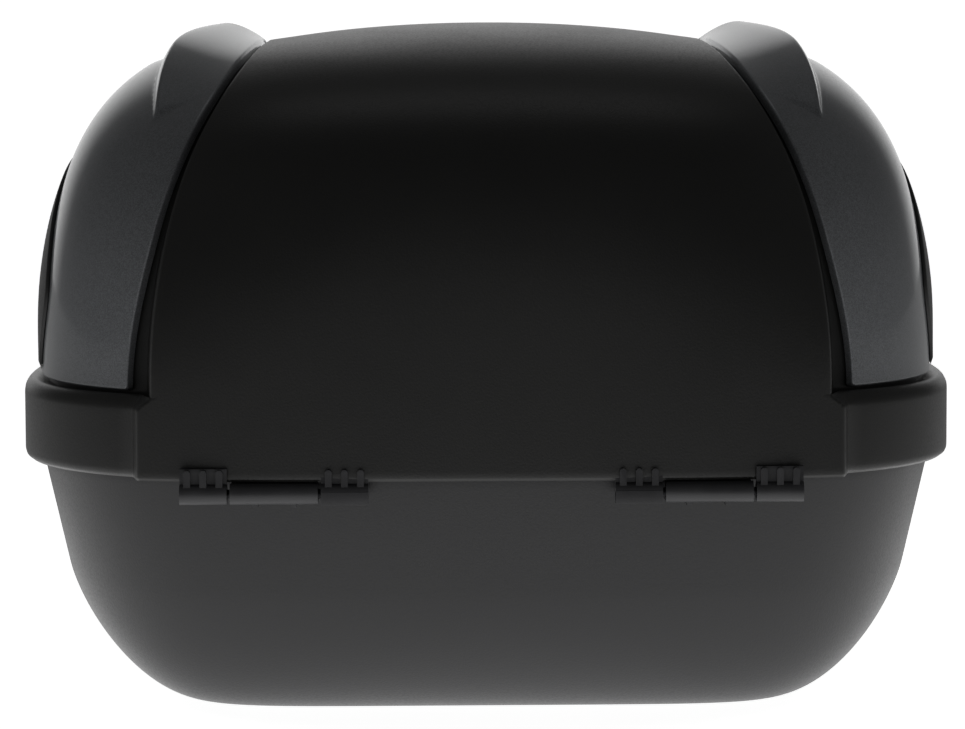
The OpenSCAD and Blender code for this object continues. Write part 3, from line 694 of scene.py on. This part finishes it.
def screw_facts(points):
    """Seat, direction and sizes of a screw: its head is its widest stretch."""
    centre = (points.max(axis=0) + points.min(axis=0)) / 2
    for _ in range(3):
        spread, turns = np.linalg.eigh(np.cov((points - centre).T))
        odd = 0 if spread[1] - spread[0] > spread[2] - spread[1] else 2
        axis = turns[:, odd]
        along = (points - centre) @ axis
        radius = np.linalg.norm(points - centre - np.outer(along, axis), axis=1)
        ends = [points[np.abs(along - e) < 0.02] for e in (along.min(), along.max())]
        centre = (ends[0].mean(axis=0) + ends[1].mean(axis=0)) / 2
    head = along[radius > radius.max() - 0.05]
    if head.mean() < 0:
        axis, along, head = -axis, -along, -head
    shank = radius[along < head.min() - 0.1]
    sizes = radius.max(), head.max() - head.min(), shank.max(), head.min() - along.min()
    return centre + axis * head.min(), axis, *sizes


class Growth:
    """A Geometry Nodes tree under construction, with its sizes as named inputs."""

    def __init__(self, name, **inputs):
        self.tree = bpy.data.node_groups.new(name, "GeometryNodeTree")
        self.tree.interface.new_socket("Geometry", in_out="INPUT", socket_type="NodeSocketGeometry")
        self.tree.interface.new_socket("Geometry", in_out="OUTPUT", socket_type="NodeSocketGeometry")
        for key, kind in inputs.items():
            label = key.replace("_", " ")
            self.tree.interface.new_socket(label, in_out="INPUT", socket_type="NodeSocket" + kind)
        self.start = self.tree.nodes.new("NodeGroupInput")
        self.end = self.tree.nodes.new("NodeGroupOutput")

    def given(self, name):
        return self.start.outputs[name]

    def node(self, kind, settings, inputs, output=0):
        made = self.tree.nodes.new(kind)
        for key, value in settings.items():
            setattr(made, key, value)
        for key, value in inputs.items():
            for part in value if isinstance(value, list) else [value]:
                if isinstance(part, bpy.types.NodeSocket):
                    self.tree.links.new(part, made.inputs[key])
                else:
                    made.inputs[key].default_value = part
        return made.outputs[output]

    def sum(self, operation, a, b):
        return self.node("ShaderNodeMath", {"operation": operation}, {0: a, 1: b})

    def upright(self, geometry, z):
        place = self.node("ShaderNodeCombineXYZ", {}, {"Z": z})
        return self.node("GeometryNodeTransform", {}, {"Geometry": geometry, "Translation": place})

    def finish(self, geometry):
        real = self.node("GeometryNodeRealizeInstances", {}, {"Geometry": geometry})
        done = self.node("GeometryNodeSetMaterial", {}, {"Geometry": real, "Material": self.given("Finish")})
        self.tree.links.new(done, self.end.inputs["Geometry"])
        return self.tree


def grown(name, points, tree, attributes, **inputs):
    """A plain mesh grown by a tree on points that carry the named attributes."""
    obj = plain_object(name, points, [])
    for key, (kind, values) in attributes.items():
        layer = obj.data.attributes.new(key, kind, "POINT")
        field = "vector" if kind == "FLOAT_VECTOR" else "value"
        layer.data.foreach_set(field, np.asarray(values, float).ravel())
    change = obj.modifiers.new("growth", "NODES")
    change.node_group = tree
    for socket in tree.interface.items_tree:
        key = socket.name.replace(" ", "_")
        if socket.in_out == "INPUT" and key in inputs:
            change[socket.identifier] = inputs[key]
    return applied(obj)


screw = Growth("cross_head_screws", Head_Radius="Float", Head_Height="Float", Shank_Radius="Float",
               Shank_Length="Float", Recess_Width="Float", Finish="Material")
rise = screw.given("Head Height")
rim_height = screw.sum("MULTIPLY", rise, 0.45)
skirt_part = screw.node("GeometryNodeMeshCylinder", {}, {
    "Vertices": 32, "Radius": screw.given("Head Radius"), "Depth": rim_height}, "Mesh")
skirt_part = screw.upright(skirt_part, screw.sum("MULTIPLY", rim_height, 0.5))
crown_part = screw.node("GeometryNodeMeshCone", {}, {
    "Vertices": 32, "Radius Bottom": screw.given("Head Radius"),
    "Depth": screw.sum("SUBTRACT", rise, rim_height),
    "Radius Top": screw.sum("MULTIPLY", screw.given("Head Radius"), 0.72)}, "Mesh")
crown_part = screw.upright(crown_part, rim_height)
width, deep = screw.given("Recess Width"), screw.sum("MULTIPLY", rise, 1.1)
bars = []
for turn in (0, 1):
    long_side = screw.sum("MULTIPLY", width, 4.6)
    size = screw.node("ShaderNodeCombineXYZ", {}, {
        "X": width if turn else long_side, "Y": long_side if turn else width, "Z": deep})
    bar_part = screw.node("GeometryNodeMeshCube", {}, {"Size": size}, "Mesh")
    bars.append(screw.upright(bar_part, screw.sum("MULTIPLY", rise, 1.0)))
body_part = screw.node("GeometryNodeMeshBoolean", {"operation": "UNION", "solver": "EXACT"},
                       {"Mesh 2": [crown_part, skirt_part]})
head_part = screw.node("GeometryNodeMeshBoolean", {"operation": "DIFFERENCE", "solver": "EXACT"},
                       {"Mesh 1": body_part, "Mesh 2": bars})
shank_part = screw.node("GeometryNodeMeshCylinder", {}, {
    "Vertices": 24, "Radius": screw.given("Shank Radius"), "Depth": screw.given("Shank Length")}, "Mesh")
shank_part = screw.upright(shank_part, screw.sum("MULTIPLY", screw.given("Shank Length"), -0.5))
whole = screw.node("GeometryNodeJoinGeometry", {}, {"Geometry": [head_part, shank_part]})
axis_of = screw.node("GeometryNodeInputNamedAttribute", {"data_type": "FLOAT_VECTOR"}, {"Name": "axis"})
turned_to = screw.node("FunctionNodeAlignRotationToVector", {"axis": "Z"}, {"Vector": axis_of})
placed = screw.node("GeometryNodeInstanceOnPoints", {}, {
    "Points": screw.given("Geometry"), "Instance": whole, "Rotation": turned_to})
screw_tree = screw.finish(placed)

for node, body in (("wing_screws", "lid"), ("striker_screws", "lid"), ("cover_screws", "case_base")):
    facts = [screw_facts(s) for s in solids_of(node)]
    head_r, head_h, shank_r, shank_l = (float(np.median([f[i] for f in facts])) * MM for i in (2, 3, 4, 5))
    ways = {"axis": ("FLOAT_VECTOR", [f[1] for f in facts])}
    screws = grown("case_" + node, [f[0] for f in facts], screw_tree, ways,
                   Head_Radius=head_r, Head_Height=head_h, Shank_Radius=shank_r, Shank_Length=shank_l,
                   Recess_Width=head_r * 0.24, Finish=STEEL)
    smoothed(screws, 38)
    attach(screws, body)
    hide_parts(node)


# ---------------------------------------------------------------- springs
# Two plain coil springs of drawn wire, held in pockets behind the red button.
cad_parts["release_springs"].data.materials.clear()
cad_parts["release_springs"].data.materials.append(STEEL)


# ---------------------------------------------------------------- mat ribs
# Low rounded ribs moulded across the mat, which keep luggage off the flat of the floor.
RIB_STEP, RIB_WIDTH, RIB_RISE, MAT_EDGE = 14.0, 3.0, 1.1, 12.0
MAT_LOW, MAT_HIGH = (Vector(c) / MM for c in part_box("floor_mat"))
COVER_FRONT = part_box("latch_cover")[0][1] / MM
rib_y = np.arange(MAT_LOW.y + MAT_EDGE, min(MAT_HIGH.y, COVER_FRONT) - 4, RIB_STEP)
rib_half = [(MAT_HIGH.x - MAT_EDGE) * (1 - abs(y / MAT_HIGH.y) ** FOOT_N) ** (1 / FOOT_N) for y in rib_y]
rib = Growth("mat_ribs", Width="Float", Rise="Float", Finish="Material")
half_length = rib.node("GeometryNodeInputNamedAttribute", {"data_type": "FLOAT"}, {"Name": "half_length"})
path = rib.node("GeometryNodeCurvePrimitiveLine", {}, {"Start": (-1.0, 0.0, 0.0), "End": (1.0, 0.0, 0.0)})
profile = rib.node("GeometryNodeCurvePrimitiveCircle", {}, {"Resolution": 12, "Radius": 1.0}, "Curve")
rod = rib.node("GeometryNodeCurveToMesh", {}, {"Curve": path, "Profile Curve": profile, "Fill Caps": True})
half_width = rib.sum("MULTIPLY", rib.given("Width"), 0.5)
size = rib.node("ShaderNodeCombineXYZ", {}, {"X": half_length, "Y": half_width, "Z": rib.given("Rise")})
laid = rib.node("GeometryNodeInstanceOnPoints", {}, {
    "Points": rib.given("Geometry"), "Instance": rod, "Scale": size})
ribs = grown("case_mat_ribs", [(0, y, MAT_HIGH.z) for y in rib_y], rib.finish(laid),
             {"half_length": ("FLOAT", np.array(rib_half) * MM)},
             Width=RIB_WIDTH * MM, Rise=RIB_RISE * MM, Finish=mat.data.materials[0])
smoothed(ribs, 60)
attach(ribs, "case_base")


# ---------------------------------------------------------------- studio
# A white floor and a white surround. They light the case more dimly than they look, brightest
# from behind and from the patch of floor round the foot, with soft lamps above and a long lens.
STUDIO_HALF = 9000.0
floor_corners = [(-STUDIO_HALF, -STUDIO_HALF, 0), (STUDIO_HALF, -STUDIO_HALF, 0),
                 (STUDIO_HALF, STUDIO_HALF, 0), (-STUDIO_HALF, STUDIO_HALF, 0)]
floor = plain_object("studio_floor", floor_corners, [(0, 1, 2, 3)])
floor_finish = Finish("studio_floor")
away = floor_finish.node("ShaderNodeVectorMath", {"operation": "LENGTH"}, {0: floor_finish.where}, 1)
# Painted light: the floor glows brightest in a pool round the foot and dimmer further out, and lights the
# case as a lamp would; the camera sees it plain white.
painted_light_pool = floor_finish.spread(away, 0.3, 0.75, 1.0, 0.0)
glow = floor_finish.tint(painted_light_pool, (0.16, 0.16, 0.16), (1, 1, 1))
seen_floor = floor_finish.node("ShaderNodeLightPath", {}, {}, "Is Camera Ray")
shine = floor_finish.node("ShaderNodeMix", {"data_type": "RGBA"},
                          {0: seen_floor, 6: glow, 7: (1, 1, 1, 1)}, 2)
floor_finish.set(Base_Color=(0.8, 0.8, 0.8, 1), Roughness=0.9, Emission_Strength=0.95, Emission_Color=shine)
floor.data.materials.append(floor_finish.material)

world = bpy.data.worlds.new("studio")
bpy.context.scene.world = world
world.use_nodes = True
tree = world.node_tree
tree.nodes.clear()
place = tree.nodes.new("ShaderNodeTexCoord")
parts = tree.nodes.new("ShaderNodeSeparateXYZ")
tree.links.new(place.outputs["Generated"], parts.inputs[0])
ramp = tree.nodes.new("ShaderNodeMapRange")
ramp.interpolation_type = "SMOOTHSTEP"
for key, value in (("From Min", 0.78), ("From Max", 1.0), ("To Min", 0.055), ("To Max", 1.1)):
    ramp.inputs[key].default_value = value
tree.links.new(parts.outputs["Y"], ramp.inputs["Value"])
light = tree.nodes.new("ShaderNodeBackground")
light.inputs["Color"].default_value = (1, 1, 1, 1)
tree.links.new(ramp.outputs[0], light.inputs["Strength"])
seen = tree.nodes.new("ShaderNodeBackground")
seen.inputs["Color"].default_value = (1, 1, 1, 1)
seen.inputs["Strength"].default_value = 1.05
rays = tree.nodes.new("ShaderNodeLightPath")
choice = tree.nodes.new("ShaderNodeMixShader")
tree.links.new(rays.outputs["Is Camera Ray"], choice.inputs[0])
tree.links.new(light.outputs[0], choice.inputs[1])
tree.links.new(seen.outputs[0], choice.inputs[2])
end = tree.nodes.new("ShaderNodeOutputWorld")
tree.links.new(choice.outputs[0], end.inputs["Surface"])
bpy.context.scene.view_settings.view_transform = "Standard"


def softbox(name, place, aim, size, power):
    data = bpy.data.lights.new(name, "AREA")
    data.shape, data.size, data.size_y, data.energy = "RECTANGLE", size[0], size[1], power
    lamp = bpy.data.objects.new(name, data)
    bpy.context.scene.collection.objects.link(lamp)
    lamp.location = place
    lamp.rotation_euler = (Vector(aim) - Vector(place)).to_track_quat("-Z", "Y").to_euler()
    lamp.visible_camera = False
    return lamp


softbox("overhead", (0.0, 0.2, 1.9), (0, 0, 0.25), (1.2, 0.6), 0.6)
for side in (-1, 1):
    softbox("high_side", (side * 1.6, 0.3, 1.4), (0, 0, 0.2), (0.9, 0.9), 3.5).visible_glossy = False

LENS_MM = 3562.5 / 965 * 36.0
CAMERA_AT = (-0.02683, -1.75, 0.28467)
CAMERA_TURN, CAMERA_DIP, CAMERA_ROLL = -0.852, 4.457, -0.225
lens_data = bpy.data.cameras.new("camera")
lens_data.sensor_width = 36.0
lens_data.lens = LENS_MM
lens_data.clip_end = 50
camera = bpy.data.objects.new("camera", lens_data)
bpy.context.scene.collection.objects.link(camera)
camera.matrix_world = (Matrix.Translation(CAMERA_AT)
                       @ Matrix.Rotation(math.radians(CAMERA_TURN), 4, "Z")
                       @ Matrix.Rotation(math.radians(90 - CAMERA_DIP), 4, "X")
                       @ Matrix.Rotation(math.radians(CAMERA_ROLL), 4, "Z"))
bpy.context.scene.camera = camera
